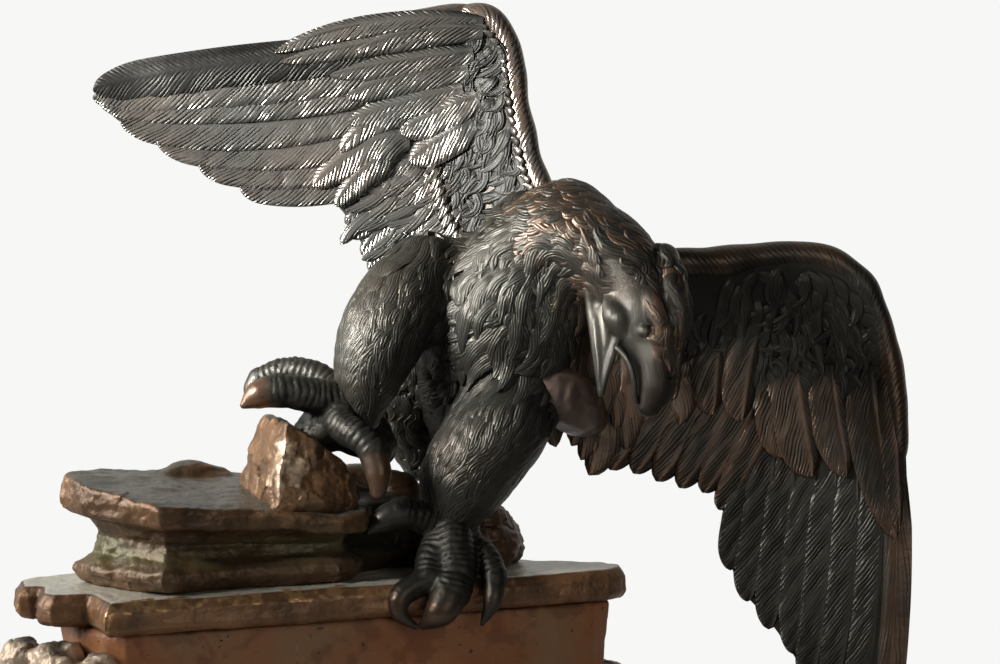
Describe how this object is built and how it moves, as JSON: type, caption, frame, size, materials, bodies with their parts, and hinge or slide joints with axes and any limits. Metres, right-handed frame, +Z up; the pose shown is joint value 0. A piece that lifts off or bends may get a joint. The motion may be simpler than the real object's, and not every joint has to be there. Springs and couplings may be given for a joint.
{
  "type": "bronze statuette",
  "caption": "Patinated bronze statuette of an eagle with spread wings and open beak, landing on a rocky ledge over a red-brown painted plinth.",
  "frame": {"origin": "middle of the plinth's felt underside, which lies at z = 0", "axes": "+X along the plinth's straight front edge, towards its rounded end; +Y away from that edge, to the back; +Z up. The eagle is turned 22 degrees clockwise about Z, seen from above, so its chest faces the left of straight front."},
  "size_m": [0.3652, 0.1593, 0.3312],
  "materials": {
    "dark_bronze": "dark brown-black patinated bronze, satin",
    "worn_bronze": "brown patinated bronze, polished by handling",
    "rock_bronze": "brown patinated bronze with golden-copper edges, rough",
    "green_bronze": "brown bronze with green patina in its recesses",
    "red_paint": "red-brown cold paint over bronze, slightly rough",
    "steel": "plain steel",
    "felt": "dark green felt"
  },
  "bodies": {
    "root": {"torso": "dark_bronze", "neck_and_head": "dark_bronze", "lower_beak": "dark_bronze", "wing_right": "dark_bronze", "wing_left": "dark_bronze", "thigh_right": "dark_bronze", "thigh_left": "dark_bronze", "tail": "dark_bronze", "foot_right": "worn_bronze", "foot_left": "worn_bronze", "rock_ledge": "green_bronze", "rock_perch": "rock_bronze", "rear_boulder": "rock_bronze", "top_slab": "rock_bronze", "plinth_body": "red_paint", "rock_pile_left": "rock_bronze", "rock_pile_right": "rock_bronze", "ground_base": "rock_bronze", "base_cover": "steel", "felt_pad": "felt", "neck_pin": "steel", "tail_screw": "steel", "wing_right_washer": "steel", "wing_right_nut": "steel", "wing_left_washer": "steel", "wing_left_nut": "steel", "thigh_right_washer": "steel", "thigh_right_nut": "steel", "thigh_left_washer": "steel", "thigh_left_nut": "steel", "foot_stud_right": "steel", "foot_washer_right": "steel", "foot_nut_right": "steel", "foot_stud_left": "steel", "foot_washer_left": "steel", "foot_nut_left": "steel", "tie_rod_1": "steel", "tie_washer_1": "steel", "tie_nut_1": "steel", "tie_rod_2": "steel", "tie_washer_2": "steel", "tie_nut_2": "steel", "ledge_screw_1": "steel", "ledge_screw_2": "steel", "boulder_screw": "steel", "pile_screw_left": "steel", "pile_screw_right": "steel", "cover_screw_1": "steel", "cover_screw_2": "steel", "cover_screw_3": "steel", "cover_screw_4": "steel"}
  },
  "joints": []
}
